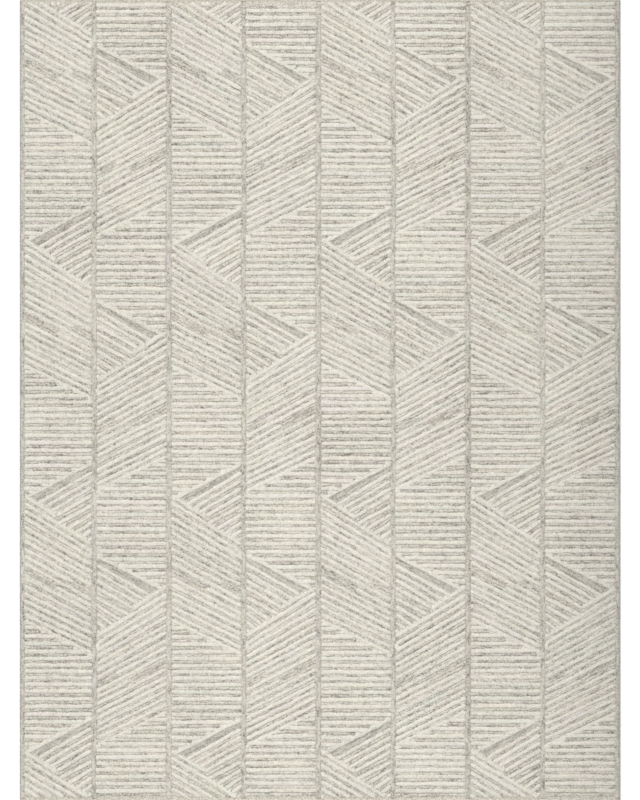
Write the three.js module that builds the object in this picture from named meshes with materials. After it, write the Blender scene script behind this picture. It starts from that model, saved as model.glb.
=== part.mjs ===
// A hand-tufted wool area rug, lying flat, pile up. Millimetres, +Z up, +Y along the rug.
// The origin is the middle of the underside. Every layer, pile panel, line, band and edge is a
// piece of its own, stacked in the order in which such a rug is made.
import * as THREE from 'three';

// Overall size: nine feet by twelve
const rugWidth = 2743.2;
const rugLength = 3657.6;

// Layer thicknesses, from the floor up
const backClothThick = 1;
const latexThick = 1.25;
const canvasThick = 0.75;

// Pile heights above the canvas
const rowPile = 9;
const linePile = 8;
const bandPile = 7.5;

// Edge finish
const edgeWrapWidth = 8;
const edgeWrapHeight = 11.5;
const hemWidth = 40;

// Pattern of the pile: columns side by side, each a repeat that its neighbour mirrors and drops
const columnCount = 8;
const lastColumnExtra = 13;
const dividerWidth = 18;
const sideLineWidth = 12;
const repeatLength = 1165;
const repeatStart = 3;
const neighbourDrop = 421;

// The plain band that slants across each repeat
const bandHeight = 40;
const bandSlope = 0.53;
const bandEndSlope = 0.54;
const bandTipFromLine = 49;
const bandFromRepeatStart = 976;

// Blank label on the back, near a corner
const labelWidth = 60;
const labelLength = 38;
const labelThick = 0.5;
const labelFromHem = 120;

// Room between neighbouring tufted areas, and between the edge wrap and what it binds
const seamGap = 0.3;

// Values that follow from the sizes above
const halfWidth = rugWidth / 2;
const halfLength = rugLength / 2;
const latexBottom = backClothThick;
const canvasBottom = latexBottom + latexThick;
const pileBottom = canvasBottom + canvasThick;
const bodyHalfWidth = halfWidth - edgeWrapWidth - seamGap;
const bodyHalfLength = halfLength - edgeWrapWidth - seamGap;
const columnPitch = (rugWidth - lastColumnExtra) / columnCount;

function textile(color, roughness) {
  return new THREE.MeshStandardMaterial({ color, roughness, metalness: 0 });
}

const woolIvory = () => textile(0xe9e3d6, 0.95);
const woolGrey = () => textile(0xb4aea1, 0.96);
const cottonCanvas = () => textile(0xd8cfbd, 0.92);
const latexCoat = () => textile(0xe4ddc9, 0.6);
const cottonTape = () => textile(0xcfc6b4, 0.9);

const rug = new THREE.Group();

function addPiece(parent, name, geometry, material) {
  const piece = new THREE.Mesh(geometry, material);
  piece.name = name;
  parent.add(piece);
  return piece;
}

// A flat piece of a given outline. Its two faces are set to the exact levels, so that the
// layers above and below it meet it face to face.
function flatPiece(outline, bottom, top) {
  const shape = new THREE.Shape(outline.map(([x, y]) => new THREE.Vector2(x, y)));
  const geometry = new THREE.ExtrudeGeometry(shape, { depth: 1, bevelEnabled: false });
  const place = geometry.attributes.position;
  for (let i = 0; i < place.count; i += 1) {
    place.setZ(i, place.getZ(i) > 0.5 ? top : bottom);
  }
  return geometry;
}

// Opposite sides can be given in either order
function rectangle(x1, x2, y1, y2) {
  const [left, right] = [Math.min(x1, x2), Math.max(x1, x2)];
  const [near, far] = [Math.min(y1, y2), Math.max(y1, y2)];
  return [[left, near], [right, near], [right, far], [left, far]];
}

// ---- Backing, hem and label ----
// The back cloth fills the frame that the four hem tapes make. It has a notch in its near side
// for the label, whose edge is caught between the cloth and the near hem tape.
function makeBacking() {
  const clothHalfWidth = bodyHalfWidth - hemWidth;
  const clothHalfLength = bodyHalfLength - hemWidth;
  const labelRight = clothHalfWidth - labelFromHem;
  const labelLeft = labelRight - labelWidth;
  const labelNear = -clothHalfLength;
  const labelFar = labelNear + labelLength;

  addPiece(rug, 'secondary_backing', flatPiece([
    [-clothHalfWidth, -clothHalfLength],
    [labelLeft, labelNear],
    [labelLeft, labelFar],
    [labelRight, labelFar],
    [labelRight, labelNear],
    [clothHalfWidth, -clothHalfLength],
    [clothHalfWidth, clothHalfLength],
    [-clothHalfWidth, clothHalfLength],
  ], 0, backClothThick), cottonCanvas());

  for (const [name, side] of [['hem_tape_left', -1], ['hem_tape_right', 1]]) {
    const outline = rectangle(side * clothHalfWidth, side * bodyHalfWidth, -bodyHalfLength, bodyHalfLength);
    addPiece(rug, name, flatPiece(outline, 0, backClothThick), cottonTape());
  }
  for (const [name, side] of [['hem_tape_near', -1], ['hem_tape_far', 1]]) {
    const outline = rectangle(-clothHalfWidth, clothHalfWidth, side * clothHalfLength, side * bodyHalfLength);
    addPiece(rug, name, flatPiece(outline, 0, backClothThick), cottonTape());
  }

  const labelOutline = rectangle(labelLeft + seamGap, labelRight - seamGap, labelNear, labelFar - seamGap);
  const labelBottom = backClothThick - labelThick;
  addPiece(rug, 'care_label', flatPiece(labelOutline, labelBottom, backClothThick), cottonTape());

  const body = rectangle(-bodyHalfWidth, bodyHalfWidth, -bodyHalfLength, bodyHalfLength);
  addPiece(rug, 'latex_coat', flatPiece(body, latexBottom, canvasBottom), latexCoat());
  addPiece(rug, 'primary_backing', flatPiece(body, canvasBottom, pileBottom), cottonCanvas());
}

// ---- Edge wrap ----
// Yarn wound over the rug's edge: flat where it meets the layers, round outside.
function edgeWrap(length) {
  const section = new THREE.Shape();
  section.moveTo(0, 0);
  section.absellipse(0, edgeWrapHeight / 2, edgeWrapWidth, edgeWrapHeight / 2, -Math.PI / 2, Math.PI / 2);
  section.closePath();
  const sweep = { depth: length, bevelEnabled: false, curveSegments: 12 };
  const geometry = new THREE.ExtrudeGeometry(section, sweep);
  geometry.translate(0, 0, -length / 2);
  geometry.rotateX(Math.PI / 2);
  return geometry;
}

function makeEdgeWraps() {
  const endLength = rugWidth - 2 * (edgeWrapWidth + seamGap);
  for (const [name, side] of [['edge_wrap_right', 1], ['edge_wrap_left', -1]]) {
    const wrap = addPiece(rug, name, edgeWrap(rugLength), woolGrey());
    wrap.position.x = side * (halfWidth - edgeWrapWidth);
    wrap.rotation.z = side > 0 ? 0 : Math.PI;
  }
  for (const [name, side] of [['edge_wrap_far', 1], ['edge_wrap_near', -1]]) {
    const wrap = addPiece(rug, name, edgeWrap(endLength), woolGrey());
    wrap.position.y = side * (halfLength - edgeWrapWidth);
    wrap.rotation.z = side * Math.PI / 2;
  }
}

// ---- Pile ----
// A band opens at one side of its column and falls away from it, to an end cut across its rows.
// Distances run from the open side, heights from the middle of the band where it opens.
// grow widens the outline evenly, which gives the pocket that the band stands in.
function bandOutline(reach, grow) {
  const upper = bandHeight / 2 + grow;
  const lower = -bandHeight / 2 - grow;
  const tipHeight = bandHeight / 2 - bandSlope * reach;
  const endLine = tipHeight - bandEndSlope * reach - grow;
  const tipAt = (edge) => (edge - endLine) / (bandSlope + bandEndSlope);
  const upperTip = tipAt(upper);
  const lowerTip = tipAt(lower);
  return [
    [0, upper],
    [upperTip, upper - bandSlope * upperTip],
    [lowerTip, lower - bandSlope * lowerTip],
    [0, lower],
  ];
}

// Where the bands of a column open, along the rug. A band that an end would cut isn't tufted.
function bandPlaces(reach, drop) {
  const lowest = Math.min(...bandOutline(reach, seamGap).map(([, height]) => height));
  const highest = bandHeight / 2 + seamGap;
  const places = [];
  const firstOpening = halfLength - repeatStart - drop - bandFromRepeatStart + repeatLength;
  for (let y = firstOpening; y + lowest > -bodyHalfLength; y -= repeatLength) {
    if (y + highest < bodyHalfLength) {
      places.push(y);
    }
  }
  return places;
}

function makeColumn(index) {
  const odd = index % 2 === 0;
  const isFirst = index === 0;
  const isLast = index === columnCount - 1;
  const width = columnPitch + (isLast ? lastColumnExtra : 0);
  const startX = -halfWidth + index * columnPitch;
  const sideRoom = edgeWrapWidth + sideLineWidth + 2 * seamGap;
  const left = (isFirst ? sideRoom : dividerWidth / 2) + seamGap;
  const right = width - (isLast ? sideRoom : dividerWidth / 2) - seamGap;
  const openSide = odd ? right : left;
  const inward = odd ? -1 : 1;
  const reach = (odd ? right : width - left) - bandTipFromLine;
  const end = bodyHalfLength - seamGap;
  const places = bandPlaces(reach, odd ? 0 : neighbourDrop);

  const column = new THREE.Group();
  column.position.x = startX;
  rug.add(column);

  const closedSide = odd ? left : right;
  const outline = [[closedSide, end], [openSide, end]];
  const pocket = bandOutline(reach, seamGap);
  for (const y of places) {
    outline.push(...pocket.map(([away, height]) => [openSide + inward * away, y + height]));
  }
  outline.push([openSide, -end], [closedSide, -end]);
  const panel = flatPiece(outline, pileBottom, pileBottom + rowPile);
  addPiece(column, `pile_column_${index + 1}`, panel, woolIvory());

  const bandShape = bandOutline(reach, 0).map(([away, height]) => [inward * away, height]);
  places.forEach((y, count) => {
    const band = flatPiece(bandShape, pileBottom, pileBottom + bandPile);
    const piece = addPiece(column, `band_${index + 1}_${count + 1}`, band, woolGrey());
    piece.position.set(openSide, y, 0);
  });
}

// The straight lines of pile between the columns and inside the two long edges
function makeLines() {
  const end = bodyHalfLength - seamGap;
  const top = pileBottom + linePile;
  for (let index = 1; index < columnCount; index += 1) {
    const outline = rectangle(-dividerWidth / 2, dividerWidth / 2, -end, end);
    const line = addPiece(rug, `divider_line_${index}`, flatPiece(outline, pileBottom, top), woolGrey());
    line.position.x = -halfWidth + index * columnPitch;
  }
  for (const [name, side] of [['side_line_left', -1], ['side_line_right', 1]]) {
    const outline = rectangle(-sideLineWidth / 2, sideLineWidth / 2, -end, end);
    const line = addPiece(rug, name, flatPiece(outline, pileBottom, top), woolGrey());
    line.position.x = side * (bodyHalfWidth - seamGap - sideLineWidth / 2);
  }
}

makeBacking();
makeEdgeWraps();
makeLines();
for (let index = 0; index < columnCount; index += 1) {
  makeColumn(index);
}

export default rug;
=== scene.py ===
import math
import random
from functools import partial

import bpy
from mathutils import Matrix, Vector, noise


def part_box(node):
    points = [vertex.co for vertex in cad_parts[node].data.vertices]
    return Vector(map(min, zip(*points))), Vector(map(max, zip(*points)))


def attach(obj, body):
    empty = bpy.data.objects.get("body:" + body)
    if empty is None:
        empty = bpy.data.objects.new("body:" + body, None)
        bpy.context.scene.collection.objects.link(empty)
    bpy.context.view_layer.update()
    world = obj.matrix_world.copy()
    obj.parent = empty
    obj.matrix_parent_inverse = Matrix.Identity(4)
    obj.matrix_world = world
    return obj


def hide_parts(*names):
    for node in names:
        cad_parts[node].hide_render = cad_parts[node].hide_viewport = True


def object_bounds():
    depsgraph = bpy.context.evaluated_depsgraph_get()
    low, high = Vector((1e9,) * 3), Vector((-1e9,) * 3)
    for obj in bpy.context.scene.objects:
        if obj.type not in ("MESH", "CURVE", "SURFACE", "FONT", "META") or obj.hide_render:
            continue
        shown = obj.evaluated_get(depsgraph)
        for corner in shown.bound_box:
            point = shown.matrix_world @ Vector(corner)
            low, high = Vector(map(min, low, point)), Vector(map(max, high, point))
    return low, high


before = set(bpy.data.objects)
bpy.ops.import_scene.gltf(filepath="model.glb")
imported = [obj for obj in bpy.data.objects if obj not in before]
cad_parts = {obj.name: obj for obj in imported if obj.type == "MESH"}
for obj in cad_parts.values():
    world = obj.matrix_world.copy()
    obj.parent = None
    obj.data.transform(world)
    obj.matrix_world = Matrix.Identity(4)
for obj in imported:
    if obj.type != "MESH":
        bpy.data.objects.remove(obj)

# A hand-tufted wool rug: ivory ribs stand a little proud of a heathered grey pile, in eight columns.
# Everything is in metres, +Z up out of the pile, +Y along the rug.

cadLow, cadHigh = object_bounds()
mm = 0.001
columnCount = 8
rowsMap = "rowMap"  # UV map in metres: along a row of tufts, and round it

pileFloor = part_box("primary_backing")[1].z
rugLeft, rugRight = cadLow.x, cadHigh.x


def addObject(name, data):
    item = bpy.data.objects.new(name, data)
    bpy.context.collection.objects.link(item)
    return item


# Camera, light and floor

view = {
    "height": 24.0,
    "seenLength": 3.6515,   # how much of the rug's length fills the picture from top to bottom
    "sensor": 36.0,
}

cameraData = bpy.data.cameras.new("camera")
cameraData.sensor_width = view["sensor"]
cameraData.lens = view["sensor"] * view["height"] / view["seenLength"]
cameraData.clip_end = 400
camera = addObject("camera", cameraData)
camera.location = (0, 0, view["height"] + cadHigh.z)
bpy.context.scene.camera = camera
bpy.context.scene.view_settings.view_transform = "Standard"

light = {
    "zenith": 0.68, "horizon": 1.06,    # how bright the studio's ceiling and its walls are
    "wallTop": 0.12, "ceilingFrom": 0.4,    # where they end and begin: 0 is level, 1 is overhead
    "skyColour": "FFFFFF",
    "sun": 1.92, "sunSpread": 50.0, "sunTilt": 38.0, "sunTurn": 25.0,
    "floorColour": "FCFCFB", "floorReach": 150, "floorDrop": 0.0006,
}


def linear(hexColour, alpha=1.0):
    parts = [int(hexColour[i:i + 2], 16) / 255 for i in (0, 2, 4)]
    return tuple(p / 12.92 if p <= 0.04045 else ((p + 0.055) / 1.055) ** 2.4 for p in parts) + (alpha,)


def addNode(tree, kind, inputs=None, **settings):
    # A new node; an input that is itself a node takes that node's first output
    node = tree.nodes.new(kind)
    for name, value in settings.items():
        setattr(node, name, value)
    for key, value in (inputs or {}).items():
        if isinstance(value, bpy.types.Node):
            value = value.outputs[0]
        if isinstance(value, bpy.types.NodeSocket):
            tree.links.new(value, node.inputs[key])
        else:
            node.inputs[key].default_value = value
    return node


world = bpy.data.worlds.new("studio")
world.use_nodes = True
world.node_tree.nodes["Background"].inputs["Color"].default_value = linear(light["skyColour"])
# a studio cove: the walls are brighter than the ceiling
skyPlace = addNode(world.node_tree, "ShaderNodeTexCoord")
skyParts = addNode(world.node_tree, "ShaderNodeSeparateXYZ", {0: skyPlace.outputs["Generated"]})
skyLevel = addNode(world.node_tree, "ShaderNodeMapRange", {
    "Value": skyParts.outputs["Z"], "From Min": light["wallTop"], "From Max": light["ceilingFrom"],
    "To Min": light["horizon"], "To Max": light["zenith"]})
world.node_tree.links.new(skyLevel.outputs[0], world.node_tree.nodes["Background"].inputs["Strength"])
bpy.context.scene.world = world

sunData = bpy.data.lights.new("softKey", "SUN")
sunData.energy = light["sun"]
sunData.angle = math.radians(light["sunSpread"])
sun = addObject("softKey", sunData)
sun.rotation_euler = (math.radians(-light["sunTilt"]), 0, math.radians(light["sunTurn"]))

floorMesh = bpy.data.meshes.new("floor")
reach = light["floorReach"]
floorMesh.from_pydata([(-reach, -reach, 0), (reach, -reach, 0), (reach, reach, 0), (-reach, reach, 0)], [],
                      [(0, 1, 2, 3)])
floor = addObject("floor", floorMesh)
floor.location.z = -light["floorDrop"]
floorPaint = bpy.data.materials.new("mattFloorPaint")
floorPaint.use_nodes = True
floorShader = floorPaint.node_tree.nodes["Principled BSDF"]
floorShader.inputs["Base Color"].default_value = linear(light["floorColour"])
floorShader.inputs["Roughness"].default_value = 0.9
floorMesh.materials.append(floorPaint)
print("stage: camera, light and floor")


# Materials

# Wool yarn, spun and tufted: matt, with a soft sheen at grazing angles. Each tuft has its own shade,
# because the fleece is dyed in the lock and carded together. The tones run from the palest tuft to
# the darkest, and the shares say how much each cause darkens a tuft.
ivoryWool = {
    "name": "ivoryWoolYarn", "tones": ("F5F1E6", "E7E3D7", "D8D4C8", "B2AEA3"),
    "stops": (0.0, 0.42, 0.76, 1.0),
    "tuftShare": 0.56, "clusterShare": 0.28, "lotShare": 0.14, "driftShare": 0.10, "edgeShare": 0.42,
    "tuft": 4.4, "clusterLength": 34, "clusterWidth": 12, "driftSize": 480, "tint": 0.07,
    "bump": 0.75, "sheen": 0.20,
}
greyWool = {
    "name": "heatheredGreyWoolYarn", "tones": ("ECE7DB", "DDD8CC", "C3BEB2", "88837A"),
    "stops": (0.08, 0.48, 0.74, 1.0),
    "tuftShare": 0.53, "clusterShare": 0.50, "lotShare": 0.12, "driftShare": 0.12, "edgeShare": -0.14,
    "tuft": 4.4, "clusterLength": 46, "clusterWidth": 7, "driftSize": 430, "tint": 0.08,
    "bump": 0.8, "sheen": 0.16,
}
lineWool = dict(greyWool, name="heatheredSlateWoolYarn", tones=("E6E2D6", "D5D1C5", "BAB6AB", "87837A"))
bandWool = dict(greyWool, name="heatheredTaupeWoolYarn", tones=("DFDBCF", "D0CCC0", "B9B5A9", "948F85"),
                clusterLength=60, clusterWidth=14, lotShare=0.18)


# Across the rug the wool is darkened a little, most at the right edge: how far across, and how much light it
# returns.
acrossDarkening = ((0.0, 0.97), (0.14, 0.975), (0.42, 1.0), (0.70, 0.975), (0.88, 0.92), (1.0, 0.82))


def openMaterial(name):
    # A material and what adds a node to it
    material = bpy.data.materials.new(name)
    material.use_nodes = True
    return material, partial(addNode, material.node_tree)


def finishMaterial(material, colour, normal, roughness=0.9, ior=1.54, sheen=0.0):
    tree = material.node_tree
    shader = tree.nodes["Principled BSDF"]
    tree.links.new(colour, shader.inputs["Base Color"])
    tree.links.new(normal, shader.inputs["Normal"])
    shader.inputs["Roughness"].default_value = roughness
    shader.inputs["IOR"].default_value = ior
    shader.inputs["Specular IOR Level"].default_value = 0.25
    shader.inputs["Sheen Weight"].default_value = sheen
    shader.inputs["Sheen Roughness"].default_value = 0.5
    return material


def setRamp(ramp, stops):
    # stops: (position, colour)
    while len(ramp.elements) < len(stops):
        ramp.elements.new(0.5)
    for element, (position, colour) in zip(ramp.elements, stops):
        element.position = position
        element.color = colour


def darkeningAcross(add, place):
    # How much the wool is darkened at this point across the rug, as a grey value
    parts = add("ShaderNodeSeparateXYZ", {0: place.outputs["Object"]})
    share = add("ShaderNodeMapRange", {
        "Value": parts.outputs["X"], "From Min": rugLeft, "From Max": rugRight})
    darkeningRamp = add("ShaderNodeValToRGB", {"Fac": share})
    setRamp(darkeningRamp.color_ramp, [(position, (value, value, value, 1)) for position, value in acrossDarkening])
    return darkeningRamp.outputs["Color"]


def woolMaterial(wool):
    material, add = openMaterial(wool["name"])
    rowUv = add("ShaderNodeUVMap", uv_map=rowsMap)
    place = add("ShaderNodeTexCoord")
    lot = add("ShaderNodeAttribute", attribute_type="GEOMETRY", attribute_name="yarnLot")
    side = add("ShaderNodeAttribute", attribute_type="GEOMETRY", attribute_name="rowSide")
    along = add("ShaderNodeSeparateXYZ", {0: rowUv.outputs["UV"]})
    lotShift = add("ShaderNodeMath", {0: lot.outputs["Fac"], 1: 37.0}, operation="MULTIPLY")
    rowPlace = add("ShaderNodeCombineXYZ", {0: along.outputs["X"], 1: along.outputs["Y"], 2: lotShift})

    # tufts, seen end on: one cell of the pattern is one tuft, and its outline is frayed
    fray = add("ShaderNodeTexNoise", {
        "Vector": place.outputs["Object"], "Scale": 1 / (2.4 * mm), "Detail": 2.0, "Roughness": 0.65})
    frayBy = add("ShaderNodeVectorMath", {
        0: fray.outputs["Color"], 1: (5.0 * mm,) * 3, 2: place.outputs["Object"]}, operation="MULTIPLY_ADD")
    tufts = add("ShaderNodeTexVoronoi", {
        "Vector": frayBy, "Scale": 1 / (wool["tuft"] * mm), "Smoothness": 0.35}, voronoi_dimensions="2D",
        feature="SMOOTH_F1")
    tuftShade = add("ShaderNodeSeparateXYZ", {0: tufts.outputs["Color"]})
    # darker fleece comes in short stretches along the yarn
    clusterPlace = add("ShaderNodeVectorMath", {
        0: rowPlace, 1: (1 / (wool["clusterLength"] * mm), 1 / (wool["clusterWidth"] * mm), 1)},
        operation="MULTIPLY")
    cluster = add("ShaderNodeTexNoise", {
        "Vector": clusterPlace, "Scale": 1.0, "Detail": 2.0, "Roughness": 0.6})
    clusterWide = add("ShaderNodeMapRange", {
        "Value": cluster.outputs["Fac"], "From Min": 0.28, "From Max": 0.72})
    # large tonal drift over the whole rug, from one dye lot to the next
    drift = add("ShaderNodeTexNoise", {
        "Vector": place.outputs["Object"], "Scale": 1 / (wool["driftSize"] * mm), "Detail": 2.0})
    driftWide = add("ShaderNodeMapRange", {"Value": drift.outputs["Fac"], "From Min": 0.3, "From Max": 0.7})
    # at the edge of a row the tufts of the two yarns mix
    middle = add("ShaderNodeMath", {0: side.outputs["Fac"]}, operation="ABSOLUTE")
    edge = add("ShaderNodeMath", {0: middle, 1: 5.0}, operation="POWER")

    total = None
    for source, share in ((tuftShade.outputs["X"], "tuftShare"), (clusterWide.outputs[0], "clusterShare"),
                          (lot.outputs["Fac"], "lotShare"), (driftWide.outputs[0], "driftShare"),
                          (edge.outputs[0], "edgeShare")):
        part = add("ShaderNodeMath", {0: source, 1: wool[share], 2: 0.0 if total is None else total},
                   operation="MULTIPLY_ADD")
        total = part.outputs[0]
    tones = add("ShaderNodeValToRGB", {"Fac": total})
    setRamp(tones.color_ramp, [(stop, linear(tone)) for stop, tone in zip(wool["stops"], wool["tones"])])

    # each row leans a little to pink, yellow or green
    tintPlace = add("ShaderNodeVectorMath", {0: rowPlace, 1: (4, 8, 1)}, operation="MULTIPLY")
    tint = add("ShaderNodeTexNoise", {"Vector": tintPlace, "Scale": 1.0, "Detail": 0.0})
    low = 1 - wool["tint"] / 2
    tintBy = add("ShaderNodeVectorMath", {
        0: tint.outputs["Color"], 1: (wool["tint"],) * 3, 2: (low, low, low)}, operation="MULTIPLY_ADD")
    tinted = add("ShaderNodeVectorMath", {0: tones.outputs["Color"], 1: tintBy}, operation="MULTIPLY")
    # darkened across the rug by the ramp above: a little at the left edge, most at the right edge
    toned = add("ShaderNodeVectorMath", {0: tinted, 1: darkeningAcross(add, place)}, operation="MULTIPLY")

    # tufts stand up as small domes, roughened by loose fibre
    fibre = add("ShaderNodeTexNoise", {
        "Vector": place.outputs["Object"], "Scale": 1 / (1.1 * mm), "Detail": 2.0, "Roughness": 0.6})
    height = add("ShaderNodeMath", {0: fibre.outputs["Fac"], 1: 0.4}, operation="MULTIPLY")
    dome = add("ShaderNodeMath", {0: height, 1: tufts.outputs["Distance"]}, operation="SUBTRACT")
    bump = add("ShaderNodeBump", {"Strength": wool["bump"], "Distance": 3.2 * mm, "Height": dome})
    return finishMaterial(material, toned.outputs[0], bump.outputs[0], roughness=0.93, sheen=wool["sheen"])


materials = {wool["name"]: woolMaterial(wool) for wool in (ivoryWool, greyWool, lineWool, bandWool)}


# The yarn that wraps the rug's edge: two plies twisted together
edgeYarn = {"name": "pliedGreyWoolYarn", "pale": "D2D0C7", "dark": "A09E97", "twist": 9.0, "plies": 2,
            "sheen": 0.16}
endYarn = dict(edgeYarn, name="pliedPaleWoolYarn", pale="EBE5D6", dark="B3AEA2")  # the two ends are paler


def pliedYarn(yarn):
    material, add = openMaterial(yarn["name"])
    place = add("ShaderNodeTexCoord")
    rowUv = add("ShaderNodeUVMap", uv_map=rowsMap)
    lot = add("ShaderNodeAttribute", attribute_type="GEOMETRY", attribute_name="yarnLot")
    along = add("ShaderNodeSeparateXYZ", {0: rowUv.outputs["UV"]})
    # the plies cross the yarn at a slant: their phase grows along it and round it
    roundPhase = add("ShaderNodeMath", {0: along.outputs["Y"], 1: yarn["plies"] * 2 * math.pi},
                     operation="MULTIPLY")
    phase = add("ShaderNodeMath", {
        0: along.outputs["X"], 1: 2 * math.pi / (yarn["twist"] * mm), 2: roundPhase},
        operation="MULTIPLY_ADD")
    ply = add("ShaderNodeMath", {0: phase}, operation="SINE")
    fibre = add("ShaderNodeTexNoise", {
        "Vector": place.outputs["Object"], "Scale": 1 / (2.5 * mm), "Detail": 3.0, "Roughness": 0.65})
    blend = add("ShaderNodeMath", {0: fibre.outputs["Fac"], 1: 0.7, 2: lot.outputs["Fac"]},
                operation="MULTIPLY_ADD")
    shade = add("ShaderNodeMapRange", {"Value": blend, "From Min": 0.2, "From Max": 1.5})
    colour = add("ShaderNodeMix", {"Factor": shade, 6: linear(yarn["pale"]), 7: linear(yarn["dark"])},
                 data_type="RGBA")
    # darkened across the rug as the wool is, most at the right edge
    toned = add("ShaderNodeVectorMath", {0: colour.outputs[2], 1: darkeningAcross(add, place)},
                operation="MULTIPLY")
    height = add("ShaderNodeMath", {0: fibre.outputs["Fac"], 1: 0.6, 2: ply}, operation="MULTIPLY_ADD")
    bump = add("ShaderNodeBump", {"Strength": 0.6, "Distance": 0.45 * mm, "Height": height})
    return finishMaterial(material, toned.outputs[0], bump.outputs[0], sheen=yarn["sheen"])


for yarn in (edgeYarn, endYarn):
    materials[yarn["name"]] = pliedYarn(yarn)


waveScale = 0.314  # a wave texture with this scale has one band to a metre


def plainCloth(name, pale, dark, thread, bumpDepth):
    # Plain-woven cotton: threads cross over and under, at the given spacing in millimetres
    material, add = openMaterial(name)
    place = add("ShaderNodeTexCoord")
    threads = {"Vector": place.outputs["Object"], "Scale": waveScale / (thread * mm), "Distortion": 0.6,
               "Detail": 1.0}
    warp = add("ShaderNodeTexWave", threads, bands_direction="X")
    weft = add("ShaderNodeTexWave", threads, bands_direction="Y")
    weave = add("ShaderNodeMath", {0: warp.outputs["Fac"], 1: weft.outputs["Fac"]}, operation="MULTIPLY")
    slub = add("ShaderNodeTexNoise", {"Vector": place.outputs["Object"], "Scale": 40.0, "Detail": 4.0})
    shade = add("ShaderNodeMath", {0: weave, 1: slub.outputs["Fac"]}, operation="MULTIPLY")
    colour = add("ShaderNodeMix", {"Factor": shade, 6: linear(dark), 7: linear(pale)}, data_type="RGBA")
    bump = add("ShaderNodeBump", {"Strength": 0.6, "Distance": bumpDepth * mm, "Height": weave})
    return finishMaterial(material, colour.outputs[2], bump.outputs[0], ior=1.53)


for name, pale, dark, thread, bumpDepth in (
        ("cottonCanvas", "E6DDCB", "BDB29B", 2.0, 0.25),      # unbleached, woven plain and open
        ("cottonBackCloth", "E0D7C4", "B9AD95", 2.5, 0.25),   # coarse scrim, glued on
        ("cottonTwillTape", "DAD1BF", "B3A88F", 1.2, 0.15),   # narrow and tightly woven
        ("labelSatin", "F4F2EC", "E4E1D8", 0.6, 0.05),        # woven fine, and left blank
        ("cottonThread", "D9D0BE", "B5AA94", 0.5, 0.05),      # spun and twisted
        ("driedLatex", "E5DDC6", "CFC4A6", 3.0, 0.1)):        # brushed on, showing the cloth beneath
    materials[name] = plainCloth(name, pale, dark, thread, bumpDepth)
print("stage: materials")


# Tufted rows: a tree that turns centre lines into round-ended ribs

rowUnit = 16            # millimetres: how wide a row is where its curve's radius is one
aroundLength = 28 * mm  # how far it is round a row's section or an edge stitch, on the UV map


def openTree(name, floats, integers):
    # A tree with its named inputs: the tree, what adds a node to it, and the sockets that bring them in
    tree = bpy.data.node_groups.new(name, "GeometryNodeTree")
    face = tree.interface
    face.new_socket("Geometry", in_out="INPUT", socket_type="NodeSocketGeometry")
    for kind, values in (("NodeSocketFloat", floats), ("NodeSocketInt", integers)):
        for label, value in values:
            face.new_socket(label, in_out="INPUT", socket_type=kind).default_value = value
    face.new_socket("Material", in_out="INPUT", socket_type="NodeSocketMaterial")
    face.new_socket("Geometry", in_out="OUTPUT", socket_type="NodeSocketGeometry")
    add = partial(addNode, tree)
    return tree, add, add("NodeGroupInput").outputs


def closeTree(tree, geometry, material):
    # Ends a tree with plain, smooth geometry in the given material
    real = addNode(tree, "GeometryNodeRealizeInstances", {"Geometry": geometry})
    smooth = addNode(tree, "GeometryNodeSetShadeSmooth", {"Geometry": real, "Shade Smooth": True})
    painted = addNode(tree, "GeometryNodeSetMaterial", {"Geometry": smooth, "Material": material})
    addNode(tree, "NodeGroupOutput", {"Geometry": painted})
    return tree


def capture(tree, geometry, values):
    # Keeps values on the points, for use after the shape has changed
    kept = addNode(tree, "GeometryNodeCaptureAttribute", domain="POINT")
    for label in values:
        kept.capture_items.new("FLOAT", label)
    tree.links.new(geometry, kept.inputs["Geometry"])
    for label, socket in values.items():
        tree.links.new(socket, kept.inputs[label])
    return kept


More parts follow.
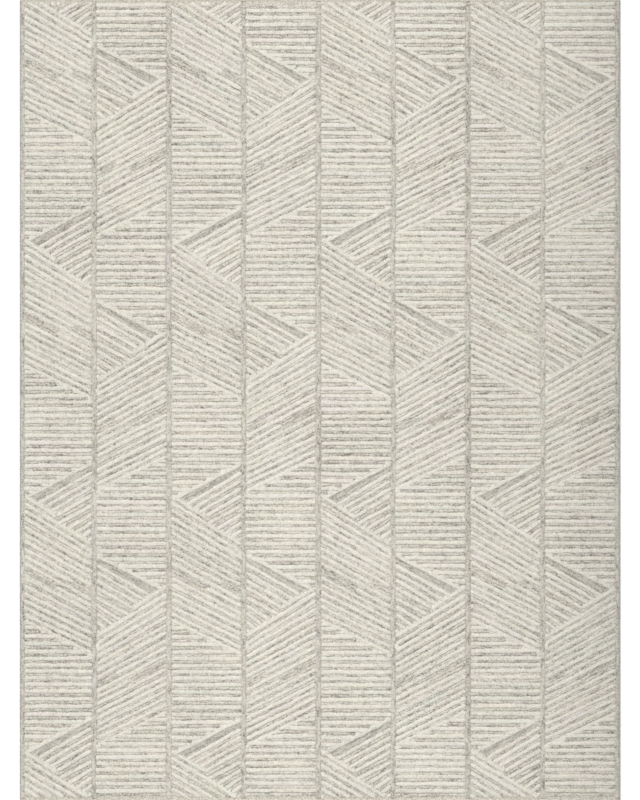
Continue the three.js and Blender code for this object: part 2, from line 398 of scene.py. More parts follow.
def makeRowTree():
    tree, add, given = openTree("tuftedRows", (
        ("Row Width", rowUnit * mm), ("Row Height", 5 * mm), ("Round End", 9 * mm), ("Wobble", 1 * mm),
        ("Wobble Size", 70 * mm), ("Tuft Relief", 0.6 * mm), ("Tuft Size", 9 * mm)),
        (("Section Points", 7), ("Seed", 1)))
    # each row gets its own share of pale and dark fleece
    lot = add("FunctionNodeRandomValue", {"Seed": given["Seed"]})
    dyed = add("GeometryNodeStoreNamedAttribute", {
        "Geometry": given["Geometry"], "Name": "yarnLot", "Value": lot.outputs[1]}, domain="CURVE")

    # the tufter's hand wanders a little
    place = add("GeometryNodeInputPosition")
    seedShift = add("ShaderNodeCombineXYZ", {2: given["Seed"]})
    wobbleScale = add("ShaderNodeMath", {0: 1.0, 1: given["Wobble Size"]}, operation="DIVIDE")
    wobblePlace = add("ShaderNodeVectorMath", {0: place, "Scale": wobbleScale}, operation="SCALE")
    wobbleAt = add("ShaderNodeVectorMath", {0: wobblePlace, 1: seedShift}, operation="ADD")
    wobbleNoise = add("ShaderNodeTexNoise", {"Vector": wobbleAt, "Scale": 1.0, "Detail": 1.0})
    wobbleSigned = add("ShaderNodeVectorMath", {0: wobbleNoise.outputs["Color"], 1: (0.5, 0.5, 0.5)},
                       operation="SUBTRACT")
    wobbleFlat = add("ShaderNodeVectorMath", {0: wobbleSigned, 1: (4, 4, 0)}, operation="MULTIPLY")
    wobbleBy = add("ShaderNodeVectorMath", {0: wobbleFlat, "Scale": given["Wobble"]}, operation="SCALE")
    moved = add("GeometryNodeSetPosition", {"Geometry": dyed, "Offset": wobbleBy})

    # rounded ends: the section shrinks as a circle does over the last few millimetres
    along = add("GeometryNodeSplineParameter")
    whole = add("GeometryNodeSplineLength")
    left = add("ShaderNodeMath", {0: whole.outputs["Length"], 1: along.outputs["Length"]},
               operation="SUBTRACT")
    nearest = add("ShaderNodeMath", {0: along.outputs["Length"], 1: left}, operation="MINIMUM")
    share = add("ShaderNodeMath", {0: nearest, 1: given["Round End"]}, operation="DIVIDE", use_clamp=True)
    inner = add("ShaderNodeMath", {0: 1.0, 1: share}, operation="SUBTRACT")
    square = add("ShaderNodeMath", {0: inner, 1: inner}, operation="MULTIPLY")
    rest = add("ShaderNodeMath", {0: 1.0, 1: square}, operation="SUBTRACT")
    root = add("ShaderNodeMath", {0: rest}, operation="SQRT")
    taper = add("ShaderNodeMath", {0: root, 1: 0.15}, operation="MAXIMUM")
    captured = capture(tree, moved.outputs[0], {"Along": along.outputs["Length"], "Taper": taper.outputs[0]})

    # the section: a full-shouldered arch on a flat base, one unit wide and high
    arch = add("GeometryNodeCurveArc", {
        "Resolution": given["Section Points"], "Radius": 1.0, "Start Angle": 0.0, "Sweep Angle": math.pi})
    closed = add("GeometryNodeSetSplineCyclic", {"Geometry": arch, "Cyclic": True})
    archPlace = add("GeometryNodeInputPosition")
    archParts = add("ShaderNodeSeparateXYZ", {0: archPlace})
    full = add("ShaderNodeMath", {0: archParts.outputs["Y"], 1: 0.36}, operation="POWER")
    halfWidth = add("ShaderNodeMath", {0: archParts.outputs["X"], 1: given["Row Width"]},
                    operation="MULTIPLY")
    halved = add("ShaderNodeMath", {0: halfWidth, 1: -0.5}, operation="MULTIPLY")
    tall = add("ShaderNodeMath", {0: full, 1: given["Row Height"]}, operation="MULTIPLY")
    raised = add("ShaderNodeMath", {0: tall, 1: -1.0}, operation="MULTIPLY")
    archAt = add("ShaderNodeCombineXYZ", {0: halved, 1: raised})
    roundIt = add("GeometryNodeSplineParameter")
    sectionMark = capture(tree, closed.outputs[0], {"Across": roundIt.outputs["Factor"],
                                                    "Side": archParts.outputs["X"]})
    section = add("GeometryNodeSetPosition", {
        "Geometry": sectionMark.outputs["Geometry"], "Position": archAt})

    upright = add("GeometryNodeSetCurveNormal", {"Curve": captured.outputs["Geometry"]}, mode="Z_UP")
    radius = add("GeometryNodeInputRadius")
    # and the row swells and narrows with the yarn
    swellPlace = add("ShaderNodeVectorMath", {0: place, 1: (60, 60, 60)}, operation="MULTIPLY")
    swell = add("ShaderNodeTexNoise", {"Vector": swellPlace, "Scale": 1.0, "Detail": 1.0})
    swellBy = add("ShaderNodeMapRange", {
        "Value": swell.outputs["Fac"], "From Min": 0.3, "From Max": 0.7, "To Min": 0.82, "To Max": 1.16})
    yarnSize = add("ShaderNodeMath", {0: captured.outputs["Taper"], 1: radius}, operation="MULTIPLY")
    size = add("ShaderNodeMath", {0: yarnSize, 1: swellBy}, operation="MULTIPLY")
    swept = add("GeometryNodeCurveToMesh", {
        "Curve": upright, "Profile Curve": section, "Scale": size, "Fill Caps": True})

    roundLength = add("ShaderNodeMath", {0: sectionMark.outputs["Across"], 1: aroundLength},
                      operation="MULTIPLY")
    mapAt = add("ShaderNodeCombineXYZ", {0: captured.outputs["Along"], 1: roundLength})
    mapped = add("GeometryNodeStoreNamedAttribute", {"Geometry": swept, "Name": rowsMap, "Value": mapAt},
                 data_type="FLOAT2", domain="CORNER")
    sided = add("GeometryNodeStoreNamedAttribute", {
        "Geometry": mapped, "Name": "rowSide", "Value": sectionMark.outputs["Side"]}, domain="POINT")

    # tufts lift the surface unevenly
    tuftPlace = add("GeometryNodeInputPosition")
    tuftScale = add("ShaderNodeMath", {0: 1.0, 1: given["Tuft Size"]}, operation="DIVIDE")
    tuftNoise = add("ShaderNodeTexNoise", {"Vector": tuftPlace, "Scale": tuftScale, "Detail": 1.0})
    tuftSigned = add("ShaderNodeMath", {0: tuftNoise.outputs["Fac"], 1: 0.5}, operation="SUBTRACT")
    tuftBy = add("ShaderNodeMath", {0: tuftSigned, 1: given["Tuft Relief"]}, operation="MULTIPLY")
    tuftDouble = add("ShaderNodeMath", {0: tuftBy, 1: 4.0}, operation="MULTIPLY")
    normal = add("GeometryNodeInputNormal")
    tuftOffset = add("ShaderNodeVectorMath", {0: normal, "Scale": tuftDouble}, operation="SCALE")
    tufted = add("GeometryNodeSetPosition", {"Geometry": sided, "Offset": tuftOffset})
    return closeTree(tree, tufted.outputs[0], given["Material"])


rowTree = makeRowTree()


def makeStitchTree(name, overcast):
    # Stitches along a line. Overcast ones are yarn rings that stand across the line and wrap an edge,
    # and running ones are short beads of thread that lie along it.
    tree, add, given = openTree(name, (
        ("Pitch", 5 * mm), ("Stitch Length", 5 * mm), ("Stitch Width", 5 * mm), ("Stitch Height", 5 * mm),
        ("Yarn Radius", 2 * mm), ("Slant", 0.2), ("Uneven", 0.05)), (("Seed", 0),))

    spaced = add("GeometryNodeResampleCurve", {"Curve": given["Geometry"], "Length": given["Pitch"]},
                 mode="LENGTH")
    points = add("GeometryNodeCurveToPoints", {"Curve": spaced}, mode="EVALUATED")
    if overcast:
        ring = add("GeometryNodeCurvePrimitiveCircle", {"Resolution": 10, "Radius": 1.0})
        ringPlace = add("GeometryNodeInputPosition")
        ringParts = add("ShaderNodeSeparateXYZ", {0: ringPlace})
        ringMark = add("GeometryNodeSplineParameter")
        ringKept = capture(tree, ring.outputs[0], {"Around": ringMark.outputs["Factor"]})
        half = []
        for part, label in (("X", "Stitch Width"), ("Y", "Stitch Height")):
            reach = add("ShaderNodeMath", {0: given[label], 1: 0.5}, operation="MULTIPLY")
            inner = add("ShaderNodeMath", {0: reach, 1: given["Yarn Radius"]}, operation="SUBTRACT")
            half.append(add("ShaderNodeMath", {0: ringParts.outputs[part], 1: inner}, operation="MULTIPLY"))
        ringAt = add("ShaderNodeCombineXYZ", {1: half[0].outputs[0], 2: half[1].outputs[0]})
        oval = add("GeometryNodeSetPosition", {"Geometry": ringKept.outputs["Geometry"], "Position": ringAt})
        yarn = add("GeometryNodeCurvePrimitiveCircle", {"Resolution": 6, "Radius": given["Yarn Radius"]})
        yarnMark = add("GeometryNodeSplineParameter")
        yarnKept = capture(tree, yarn.outputs[0], {"Around": yarnMark.outputs["Factor"]})
        swept = add("GeometryNodeCurveToMesh", {
            "Curve": oval, "Profile Curve": yarnKept.outputs["Geometry"]})
        runs = add("ShaderNodeMath", {0: ringKept.outputs["Around"], 1: aroundLength}, operation="MULTIPLY")
        mapAt = add("ShaderNodeCombineXYZ", {0: runs, 1: yarnKept.outputs["Around"]})
        single = add("GeometryNodeStoreNamedAttribute", {"Geometry": swept, "Name": rowsMap, "Value": mapAt},
                     data_type="FLOAT2", domain="CORNER")
    else:
        bead = add("GeometryNodeMeshUVSphere", {"Segments": 6, "Rings": 4, "Radius": 0.5})
        size = add("ShaderNodeCombineXYZ", {
            0: given["Stitch Length"], 1: given["Stitch Width"], 2: given["Stitch Height"]})
        single = add("GeometryNodeTransform", {"Geometry": bead, "Scale": size})

    turned = add("FunctionNodeAlignRotationToVector", {"Vector": points.outputs["Tangent"]}, axis="X")
    less = add("ShaderNodeMath", {0: given["Slant"], 1: given["Uneven"]}, operation="SUBTRACT")
    more = add("ShaderNodeMath", {0: given["Slant"], 1: given["Uneven"]}, operation="ADD")
    slant = add("FunctionNodeRandomValue", {"Seed": given["Seed"], 2: less, 3: more})
    slantTurn = add("ShaderNodeCombineXYZ", {2: slant.outputs[1]})
    slanted = add("FunctionNodeRotateRotation", {"Rotation": turned, "Rotate By": slantTurn},
                  rotation_space="LOCAL")
    placed = add("GeometryNodeInstanceOnPoints", {"Points": points, "Instance": single, "Rotation": slanted})
    lot = add("FunctionNodeRandomValue", {"Seed": given["Seed"]})
    dyed = add("GeometryNodeStoreNamedAttribute", {
        "Geometry": placed, "Name": "yarnLot", "Value": lot.outputs[1]}, domain="INSTANCE")
    return closeTree(tree, dyed.outputs[0], given["Material"])


overcastTree = makeStitchTree("overcastEdge", True)
runningTree = makeStitchTree("runningStitches", False)


def runTree(source, tree, inputs, name):
    # Puts the tree on the object, keeps its evaluated result as a plain mesh, and drops the source
    modifier = source.modifiers.new(tree.name, "NODES")
    modifier.node_group = tree
    for item in tree.interface.items_tree:
        if item.in_out == "INPUT" and item.name in inputs:
            modifier[item.identifier] = inputs[item.name]
    graph = bpy.context.evaluated_depsgraph_get()
    mesh = bpy.data.meshes.new_from_object(source.evaluated_get(graph), preserve_all_data_layers=True,
                                           depsgraph=graph)
    mesh.name = name
    data = source.data
    bpy.data.objects.remove(source)
    bpy.data.curves.remove(data)
    return addObject(name, mesh)


endRings = [0.0, 0.7 * mm, 2.6 * mm, 5.5 * mm, 9.0 * mm]  # how far from a row's end its sections stand


def rowPoints(start, end, step=11 * mm):
    # Points along a straight row, closer together where its ends are rounded
    length = math.dist(start, end)
    fit = min(1.0, length / (2.5 * endRings[-1]))
    ends = [d * fit for d in endRings]
    middle = length - 2 * ends[-1]
    count = max(1, round(middle / step))
    between = [ends[-1] + middle * i / count for i in range(1, count)]
    distances = ends + between + [length - d for d in reversed(ends)]
    return [tuple(a + (b - a) * d / length for a, b in zip(start, end)) for d in distances]


def rowCurve(name, rows, level):
    # rows: (start, end, width) with the width as a share of the tree's row width
    curve = bpy.data.curves.new(name, "CURVE")
    curve.dimensions = "3D"
    for start, end, width in rows:
        points = rowPoints(start, end)
        spline = curve.splines.new("POLY")
        spline.points.add(len(points) - 1)
        spline.points.foreach_set("co", [c for x, y in points for c in (x, y, level, 1)])
        spline.points.foreach_set("radius", [width] * len(points))
    return addObject(name, curve)


# The pattern, in millimetres
# One repeat of a column, as the odd columns have it. Even columns mirror it. Across runs from the
# line at the column's left, down runs from the start of the repeat towards the near end.

pattern = {
    # the shortest row, how far grey keeps from an ivory row's end, where two rows are joined, and how
    # much shorter the grey between them is
    "shortest": 9, "endGap": 4, "joinIn": 7, "joinShort": 16,
    # where two fields meet: how far the fill ribs and the grey lines lap, and their share of a row's width
    "fillLap": 6, "levelLap": 5, "greyLap": 2, "fillSlanted": 0.8, "fillLevel": 0.85, "gapShare": 0.9,
    # along the band: the row above it and the edge below it, how its own ribs share its width, and how far
    # those start in from the tip and run over the line
    "diagonalUp": -9.5, "diagonalIn": 4, "bandLow": -10, "bandShares": (0.16, 0.5, 0.84), "bandTipIn": 3,
    "bandOver": 1.5,
    "columnWidth": 341.3,
    "bandTop": 209.0,          # the band's highest corner lies this far before the next repeat starts
    # falling rows: where each meets the left and the right line
    "fallingRows": 17,
    "fallingLeft": (-47.0, 36.0, -0.14),
    "fallingRight": (163.0, 31.0),
    "shortFirst": (7, 247.0),  # this row stops short, this far across
    "shortLast": (9, 172.0),   # and this one starts there
    "joined": (1, 2),          # two rows that turn into each other at their right ends
    # the row above them, which turns up into a rising row
    "cornerRow": (-79.0, 138.0),
    "cornerAcross": 170.0,
    # level rows: the grey ones, which the ivory rows lie between
    "levelRows": 18,
    "levelFirst": 516.0,
    "levelPitch": 33.3,
    "levelDrift": 14.0,
    "levelDriftRows": 14.0,
    # rising rows: how many, where the first meets the right line, the step from one to the next, how
    # steeply they rise, and how much more steeply each does than the one before
    "risingAbove": (4, -178.0, 34.3, 0.57, 0.0),
    "risingBelow": (5, -26.0, 35.0, 0.52, 0.09),
    "bandEdge": (-35.0, -213.0),
    # widths of the ribs across their run
    "ivorySlanted": 19.5, "ivoryLevel": 21.5, "greySlanted": 15.5, "greyLevel": 16.5, "bandRow": 14.5,
    # how far grey and ivory rows reach over the lines at the column's sides
    "overLine": (3.5, 4.5),
    # how far a grey row stops from the middle of an ivory row that closes it
    "tipRoom": 14.0,
}


def lineAt(line, across):
    return line[0] + (line[1] - line[0]) * across / pattern["columnWidth"]


def crossing(lineA, lineB):
    # How far across the column two lines meet
    rise = (lineB[1] - lineB[0]) - (lineA[1] - lineA[0])
    return pattern["columnWidth"] * (lineA[0] - lineB[0]) / rise


def between(lineA, lineB, share=0.5):
    return tuple(a + (b - a) * share for a, b in zip(lineA, lineB))


def shifted(line, down):
    return (line[0] + down, line[1] + down)


def repeatRows(near, far, pitch):
    # The rows of one repeat, each (kind, line, from, to, width), inside the column's two sides
    p = pattern
    rows = []
    room = p["tipRoom"]

    def add(kind, line, start, end, width):
        reach = p["overLine"][0] if kind == "grey" else p["overLine"][1]
        start, end = max(start, near - reach), min(end, far + reach)
        if end - start > p["shortest"]:
            rows.append((kind, line, start, end, width))

    left, right = p["fallingLeft"], p["fallingRight"]
    falling = [(left[0] + left[1] * i + left[2] * i * i, right[0] + right[1] * i)
               for i in range(p["fallingRows"])]
    for i, line in enumerate(falling):
        start = p["shortLast"][1] if i == p["shortLast"][0] else near
        end = p["shortFirst"][1] if i == p["shortFirst"][0] else far
        add("ivory", line, start, end, p["ivorySlanted"])
        add("grey", line, near, start - p["endGap"], p["greySlanted"])
        add("grey", line, end + p["endGap"], far, p["greySlanted"])
    for i in range(len(falling) - 1):
        end = far - p["joinShort"] if i == p["joined"][0] else far
        add("grey", between(falling[i], falling[i + 1]), near, end, p["greySlanted"])
    first, second = (falling[i] for i in p["joined"])
    joinAt = far - p["joinIn"]
    rows.append(("join", (lineAt(first, joinAt), lineAt(second, joinAt)), joinAt, joinAt, p["ivorySlanted"]))

    corner = p["cornerRow"]
    gap = between(corner, falling[0])
    add("ivory", corner, near, p["cornerAcross"], p["ivorySlanted"])
    add("grey", gap, near, p["cornerAcross"] + p["endGap"], p["gapShare"] * p["greySlanted"])

    lastAbove = None
    for (count, firstRight, step, slope, more), edge in ((p["risingAbove"], corner),
                                                         (p["risingBelow"], falling[0])):
        rising = []
        for j in range(count):
            lineRight = firstRight + step * j
            rising.append((lineRight + (slope + more * j) * p["columnWidth"], lineRight))
        for line in rising:
            add("ivory", line, crossing(line, edge), far, p["ivorySlanted"])
        for a, b in zip(rising, rising[1:]):
            line = between(a, b)
            tip = crossing(line, shifted(edge, -room))
            add("grey", line, tip, far, p["greySlanted"])
            add("fill", line, crossing(line, edge), tip + p["fillLap"], p["fillSlanted"] * p["ivorySlanted"])
        if lastAbove:
            line = between(lastAbove, rising[0])
            add("grey", line, crossing(line, gap) - p["greyLap"], far, p["greySlanted"])
        else:
            firstRising = rising[0]
        lastAbove = rising[-1]

    diagonal = shifted(p["bandEdge"], p["diagonalUp"])
    add("ivory", diagonal, near + p["diagonalIn"], far, p["ivorySlanted"])
    lowerEdge = shifted(firstRising, p["bandLow"])
    for share in p["bandShares"]:
        line = between(p["bandEdge"], lowerEdge, share)
        tip = crossing(line, shifted(corner, -room)) + p["bandTipIn"]
        rows.append(("band", line, tip, far + p["bandOver"], p["bandRow"]))

    upper, lower = falling[-1], shifted(diagonal, pitch)
    slopeUp = (upper[1] - upper[0]) / p["columnWidth"]
    slopeLow = (lower[1] - lower[0]) / p["columnWidth"]

    def levelEnd(down, tipRoom):
        underUpper = (down - tipRoom - upper[0]) / slopeUp
        overLower = (down + tipRoom - lower[0]) / slopeLow
        return min(underUpper, overLower)

    greyAt = []
    for i in range(p["levelRows"]):
        drift = p["levelDrift"] * math.sin(2 * math.pi * i / p["levelDriftRows"]) * (1 - i / p["levelRows"])
        greyAt.append(p["levelFirst"] + p["levelPitch"] * i + drift)
    for down in greyAt:
        level = (down, down)
        end = levelEnd(down, room)
        add("grey", level, near, end, p["greyLevel"])
        if end < far:
            start = max(end - p["levelLap"], near)
            add("fill", level, start, levelEnd(down, 0), p["fillLevel"] * p["ivoryLevel"])
    for down in [(a + b) / 2 for a, b in zip(greyAt, greyAt[1:])] + [greyAt[-1] + p["levelPitch"] / 2]:
        add("ivory", (down, down), near, levelEnd(down, 0), p["ivoryLevel"])
    return rows


# how far the tufter's hand strays, in millimetres, and by what share a row's width does
hand = {"ivoryShift": 2.4, "greyShift": 1.6, "endShift": 5.0, "repeatShift": 3.5, "widthShift": 0.08}


def lineMiddle(index):
    low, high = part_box(f"divider_line_{index}")
    return (low.x + high.x) / 2


def columnRows(index):
    # All rows of one column as (start, end, width) in metres, by kind, with the bands by their number
    panelLow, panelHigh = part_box(f"pile_column_{index}")
    lineLeft = rugLeft if index == 1 else lineMiddle(index - 1)
    lineRight = rugRight if index == columnCount else lineMiddle(index)
    odd = index % 2 == 1
    stretch = (lineRight - lineLeft) / pattern["columnWidth"]
    if odd:
        near, far = (panelLow.x - lineLeft) / stretch, (panelHigh.x - lineLeft) / stretch
    else:
        near, far = (lineRight - panelHigh.x) / stretch, (lineRight - panelLow.x) / stretch

    bandNames = sorted(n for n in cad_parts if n.startswith(f"band_{index}_"))
    tops = [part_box(name)[1].y for name in bandNames]
    pitch = (tops[0] - tops[-1]) / (len(tops) - 1)
    starts = {number: top - pattern["bandTop"] * mm for number, top in enumerate(tops)}
    chance = random.Random(100 + index)
    endLow, endHigh = panelLow.y + 1.5 * mm, panelHigh.y - 1.5 * mm  # rows keep their tufts inside these

    made = {"ivory": [], "grey": [], "bands": {}}
    for number in range(-2, len(tops) + 2):
        start = starts.get(number, starts[0] - number * pitch)
        slip = chance.uniform(-1, 1) * hand["repeatShift"]
        for kind, line, a, b, width in repeatRows(near, far, pitch / mm):
            shift = hand["ivoryShift"] if kind in ("ivory", "fill") else hand["greyShift"]
            if kind == "join":
                ends = [(a, line[0]), (b, line[1])]
            else:
                if kind == "ivory":
                    a += chance.uniform(0, 1) * hand["endShift"]
                    b -= chance.uniform(0, 1) * hand["endShift"]
                ends = [(a, lineAt(line, a) + chance.uniform(-1, 1) * shift),
                        (b, lineAt(line, b) + chance.uniform(-1, 1) * shift)]
            placed = []
            for across, down in ends:
                x = lineLeft + across * stretch if odd else lineRight - across * stretch
                placed.append((x, start - (down + slip) * mm))
            width *= 1 + chance.uniform(-1, 1) * hand["widthShift"]
            placed = insideEnds(placed, endLow, endHigh, width / 2 * mm)
            if not placed:
                continue
            row = (*placed, width)
            if kind == "band" and number in starts:
                made["bands"].setdefault(bandNames[number], []).append(row)
            else:
                made["grey" if kind in ("grey", "band") else "ivory"].append(row)
    return made


def insideEnds(points, low, high, halfWidth):
    # Cuts a straight row where it would run past the rug's near or far end
    (x1, y1), (x2, y2) = points
    if abs(y2 - y1) < 0.2 * abs(x2 - x1):
        return points if low + halfWidth < min(y1, y2) and max(y1, y2) < high - halfWidth else None
    low, high = low + 0.5 * halfWidth, high - 0.5 * halfWidth
    shares = sorted(((low - y1) / (y2 - y1), (high - y1) / (y2 - y1)))
    a, b = max(0.0, shares[0]), min(1.0, shares[1])
    if b - a <= 0 or (b - a) * math.dist(*points) < 0.012:
        return None
    return [(x1 + (x2 - x1) * t, y1 + (y2 - y1) * t) for t in (a, b)]


# Pile

pile = {
    # heights above the canvas: the grey tufts between the rows, where the rows start, and the top of
    # a row 16 mm wide, because a wider row stands higher
    "groundTop": 5.0, "rowBase": 4.0,
    "ivoryTop": 8.0, "greyTop": 7.5, "bandTop": 7.3, "dividerTop": 6.75,
    "wobble": 1.7, "wobbleSize": 55.0, "tuftRelief": 0.75, "tuftSize": 11.0,
    "lineWobble": 1.3, "lineLap": 5.0,    # the lines wander less, and lap this much over the row ends
}


def tuftRows(name, rows, top, material, seed, wobble=None, sectionPoints=7):
    level = pileFloor + pile["rowBase"] * mm
    curve = rowCurve(name + "Lines", [(a, b, width / rowUnit) for a, b, width in rows], level)
    inputs = {"Row Width": rowUnit * mm, "Row Height": (top - pile["rowBase"]) * mm,
              "Round End": endRings[-1], "Wobble": (pile["wobble"] if wobble is None else wobble) * mm,
              "Wobble Size": pile["wobbleSize"] * mm,
              "Tuft Relief": pile["tuftRelief"] * mm, "Tuft Size": pile["tuftSize"] * mm,
              "Section Points": sectionPoints, "Seed": seed, "Material": material}
    return runTree(curve, rowTree, inputs, name)


def gridStops(low, high, cell, extra):
    # Even steps from low to high, with extra lines where something is let in
    count = max(1, round((high - low) / cell))
    stops = [low + (high - low) * i / count for i in range(count + 1)]
    return sorted(stops + [v for v in extra if low < v < high and min(abs(v - t) for t in stops) > 1e-5])


def clothSheet(name, low, high, cell, relief, material, wavelength=0.25, seed=0, pocket=None):
    # A thin closed cloth whose face and back lie in the same gentle waves. A pocket, given as its low
    # and high corner, presses the back up to the pocket's height.
    pocketLow, pocketHigh = pocket or ((0, 0, 0), (0, 0, 0))
    edgeX = [pocketLow[0] - mm, pocketLow[0], pocketHigh[0], pocketHigh[0] + mm] if pocket else []
    edgeY = [pocketLow[1], pocketHigh[1], pocketHigh[1] + mm] if pocket else []
    stopsX, stopsY = gridStops(low[0], high[0], cell, edgeX), gridStops(low[1], high[1], cell, edgeY)
    vertices = []
    for z in (low[2], high[2]):
        for y in stopsY:
            for x in stopsX:
                level = z + noise.noise(Vector((x / wavelength, y / wavelength, seed))) * relief
                inside = (pocketLow[0] - 1e-5 <= x <= pocketHigh[0] + 1e-5
                          and pocketLow[1] - 1e-5 <= y <= pocketHigh[1] + 1e-5)
                if pocket and inside and z == low[2]:
                    level = pocketHigh[2]
                vertices.append((x, y, level))
    across, along = len(stopsX) - 1, len(stopsY) - 1
    layer = (across + 1) * (along + 1)
    faces = []

    def at(i, j, side):
        return side * layer + j * (across + 1) + i

    for j in range(along):
        for i in range(across):
            faces.append((at(i, j, 1), at(i + 1, j, 1), at(i + 1, j + 1, 1), at(i, j + 1, 1)))
            faces.append((at(i, j, 0), at(i, j + 1, 0), at(i + 1, j + 1, 0), at(i + 1, j, 0)))
    for i in range(across):
        faces.append((at(i, 0, 0), at(i + 1, 0, 0), at(i + 1, 0, 1), at(i, 0, 1)))
        faces.append((at(i, along, 0), at(i, along, 1), at(i + 1, along, 1), at(i + 1, along, 0)))
    for j in range(along):
        faces.append((at(0, j, 0), at(0, j, 1), at(0, j + 1, 1), at(0, j + 1, 0)))
        faces.append((at(across, j, 0), at(across, j + 1, 0), at(across, j + 1, 1), at(across, j, 1)))
    mesh = bpy.data.meshes.new(name)
    mesh.from_pydata(vertices, [], faces)
    mesh.materials.append(material)
    return addObject(name, mesh)


def claim(piece, slotName, *nodes):
    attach(piece, "root")
    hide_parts(*nodes)
    return piece


for index in range(1, columnCount + 1):
    rows = columnRows(index)
    node = f"pile_column_{index}"
    low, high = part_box(node)
    ground = clothSheet(f"pile_ground_{index}", (low.x, low.y, pileFloor),
                        (high.x, high.y, pileFloor + pile["groundTop"] * mm), 20 * mm, 0.5 * mm,
                        materials["heatheredGreyWoolYarn"], 0.03, index)
    grey = tuftRows(f"grey_rows_{index}", rows["grey"], pile["greyTop"], materials["heatheredGreyWoolYarn"],
                    10 + index, sectionPoints=5)
    ivory = tuftRows(f"ivory_rows_{index}", rows["ivory"], pile["ivoryTop"], materials["ivoryWoolYarn"],
                     30 + index)
    for piece, slotName in ((ground, "wool_grey"), (grey, "wool_grey"), (ivory, "wool_ivory")):
        claim(piece, slotName, node)
    for bandName, bandRows in rows["bands"].items():
        band = tuftRows(f"grey_{bandName}", bandRows, pile["bandTop"], materials["heatheredTaupeWoolYarn"],
                        60 + index, sectionPoints=6)
        claim(band, "wool_grey", bandName)
    print("stage: column", index, len(rows["ivory"]), "ivory ribs and", len(rows["grey"]), "grey ribs")

lineNodes = [f"divider_line_{i}" for i in range(1, columnCount)] + ["side_line_left", "side_line_right"]
for number, node in enumerate(lineNodes):
    low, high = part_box(node)
    x = (low.x + high.x) / 2
    width = (high.x - low.x) / mm + pile["lineLap"]
    line = tuftRows("grey_" + node, [((x, low.y), (x, high.y), width)], pile["dividerTop"],
                    materials["heatheredSlateWoolYarn"], 80 + number, wobble=pile["lineWobble"])
    claim(line, "wool_grey", node)
print("stage: lines between the columns")


# Backing

back = {
    "stitchDeep": 0.35,    # the thread stands this far out of the tape's face
    "tapePitch": 9.0, "tapeStitch": 5.5, "tapeThread": 1.1, "tapeStitchIn": 5.0,
    "labelPitch": 4.0, "labelStitch": 2.6, "labelThread": 0.7, "labelStitchIn": 2.5,
    "labelThick": 0.5, "labelTrim": 0.1,
    "clothUp": 0.2, "labelUp": 0.05,    # the cloth's back and the label's face lie this much higher
}


def flatSize(node):
    low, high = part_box(node)
    return (high.x - low.x, high.y - low.y)


def lineOfPoints(name, *points):
    curve = bpy.data.curves.new(name, "CURVE")
    curve.dimensions = "3D"
    spline = curve.splines.new("POLY")
    spline.points.add(len(points) - 1)
    spline.points.foreach_set("co", [c for point in points for c in (*point, 1)])
    return addObject(name, curve)


def runningStitches(name, start, end, kind, seed):
    # thread along the underside, half sunk in the cloth
    z = back["stitchDeep"] * mm * 0.75
    line = lineOfPoints(name + "Line", (*start, z), (*end, z))
    inputs = {"Pitch": back[kind + "Pitch"] * mm, "Stitch Length": back[kind + "Stitch"] * mm,
              "Stitch Width": back[kind + "Thread"] * mm, "Stitch Height": back["stitchDeep"] * 1.5 * mm,
              "Slant": 0.0, "Uneven": 0.09, "Seed": seed, "Material": materials["cottonThread"]}
    return runTree(line, runningTree, inputs, name)


backLooks = {
    "primary_backing": ("canvas_backing", "canvas", "cottonCanvas", 60),
    "latex_coat": ("latex_layer", "latex", "driedLatex", 60),
    "hem_tape_left": ("tape_left", "cotton_tape", "cottonTwillTape", 20),
    "hem_tape_right": ("tape_right", "cotton_tape", "cottonTwillTape", 20),
    "hem_tape_near": ("tape_near", "cotton_tape", "cottonTwillTape", 20),
    "hem_tape_far": ("tape_far", "cotton_tape", "cottonTwillTape", 20),
}
for node, (name, slotName, look, cell) in backLooks.items():
    low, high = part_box(node)
    if node.startswith("hem_tape"):
        low.z += back["stitchDeep"] * mm
    piece = clothSheet(name, low, high, cell * mm, 0.0, materials[look])
    claim(piece, slotName, node)

# the blank label is sewn on the back cloth, which gives way under it
labelLow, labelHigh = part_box("care_label")
labelBack = labelLow.z + back["labelUp"] * mm
low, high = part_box("secondary_backing")
cloth = clothSheet("back_cloth", (low.x, low.y, low.z + back["clothUp"] * mm), high, 40 * mm, 0.0,
                   materials["cottonBackCloth"],
                   pocket=((labelLow.x, labelLow.y, 0), (labelHigh.x, labelHigh.y, labelBack)))
claim(cloth, "backing_cloth", "secondary_backing")
label = clothSheet("blank_label",
                   (labelLow.x, labelLow.y, labelBack - back["labelThick"] * mm + back["labelTrim"] * mm),
                   (labelHigh.x, labelHigh.y, labelBack), 6 * mm, 0.0, materials["labelSatin"])
claim(label, "label_cloth", "care_label")

inset = back["tapeStitchIn"] * mm
for number, node in enumerate(n for n in backLooks if n.startswith("hem_tape")):
    low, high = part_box(node)
    if high.y - low.y > high.x - low.x:
        sides = [((x, low.y + inset), (x, high.y - inset)) for x in (low.x + inset, high.x - inset)]
    else:
        sides = [((low.x + inset, y), (high.x - inset, y)) for y in (low.y + inset, high.y - inset)]
    for which, (start, end) in enumerate(sides):
        stitches = runningStitches(f"stitches_{node[4:]}_{which + 1}", start, end, "tape",
                                   120 + 2 * number + which)
        claim(stitches, "cotton_tape", node)

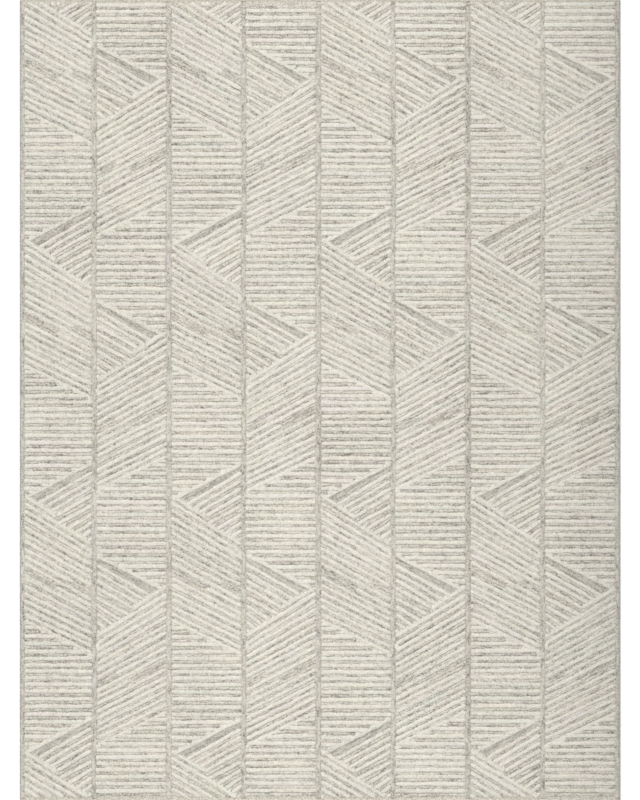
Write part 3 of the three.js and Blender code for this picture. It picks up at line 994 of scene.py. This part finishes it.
inset = back["labelStitchIn"] * mm
x1, y1, x2, y2 = labelLow.x + inset, labelLow.y + inset, labelHigh.x - inset, labelHigh.y - inset
for which, (start, end) in enumerate((((x1, y1), (x1, y2)), ((x1, y2), (x2, y2)), ((x2, y2), (x2, y1)))):
    claim(runningStitches(f"stitches_label_{which + 1}", start, end, "label", 140 + which), "label_cloth",
          "care_label")
print("stage: backing, tapes and label")


# Edge wraps

wrap = {
    "pitch": 4.7, "yarnRadius": 2.35, "slant": 0.24, "uneven": 0.07,
    "endIn": 3.4,                       # the first and last ring stand this far in from the rug's corners
    "coreIn": 1.7, "coreDown": 3.0,     # how far the cord lies inside the yarn, and below its top
}

for number, node in enumerate(("edge_wrap_left", "edge_wrap_right", "edge_wrap_near", "edge_wrap_far")):
    low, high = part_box(node)
    along = 1 if high.y - low.y > high.x - low.x else 0
    look = materials[(edgeYarn if along == 1 else endYarn)["name"]]
    middle = (low + high) / 2
    start, end = middle.copy(), middle.copy()
    start[along], end[along] = low[along] + wrap["endIn"] * mm, high[along] - wrap["endIn"] * mm
    size = high - low
    inputs = {"Pitch": wrap["pitch"] * mm, "Stitch Width": size[1 - along], "Stitch Height": size[2],
              "Yarn Radius": wrap["yarnRadius"] * mm, "Slant": wrap["slant"], "Uneven": wrap["uneven"],
              "Seed": 160 + number, "Material": look}
    yarn = runTree(lineOfPoints(node + "Line", start, end), overcastTree, inputs, "yarn_" + node)
    claim(yarn, "edge_yarn", node)
    # under the yarn lies a cord that reaches the pile on its inner side
    coreLow, coreHigh = (v.copy() for v in (low, high))
    for axis in range(3):
        coreLow[axis] += wrap["coreIn"] * mm
        coreHigh[axis] -= wrap["coreIn"] * mm
    coreHigh.z = high.z - wrap["coreDown"] * mm
    if middle[1 - along] < 0:
        coreHigh[1 - along] = high[1 - along]
    else:
        coreLow[1 - along] = low[1 - along]
    core = clothSheet("core_" + node, coreLow, coreHigh, 60 * mm, 0.0, look)
    claim(core, "edge_yarn", node)
print("stage: edge wraps")

flatSize("secondary_backing")
flatSize("primary_backing")
for node in ("hem_tape_left", "hem_tape_right", "hem_tape_near", "hem_tape_far", "care_label"):
    flatSize(node)
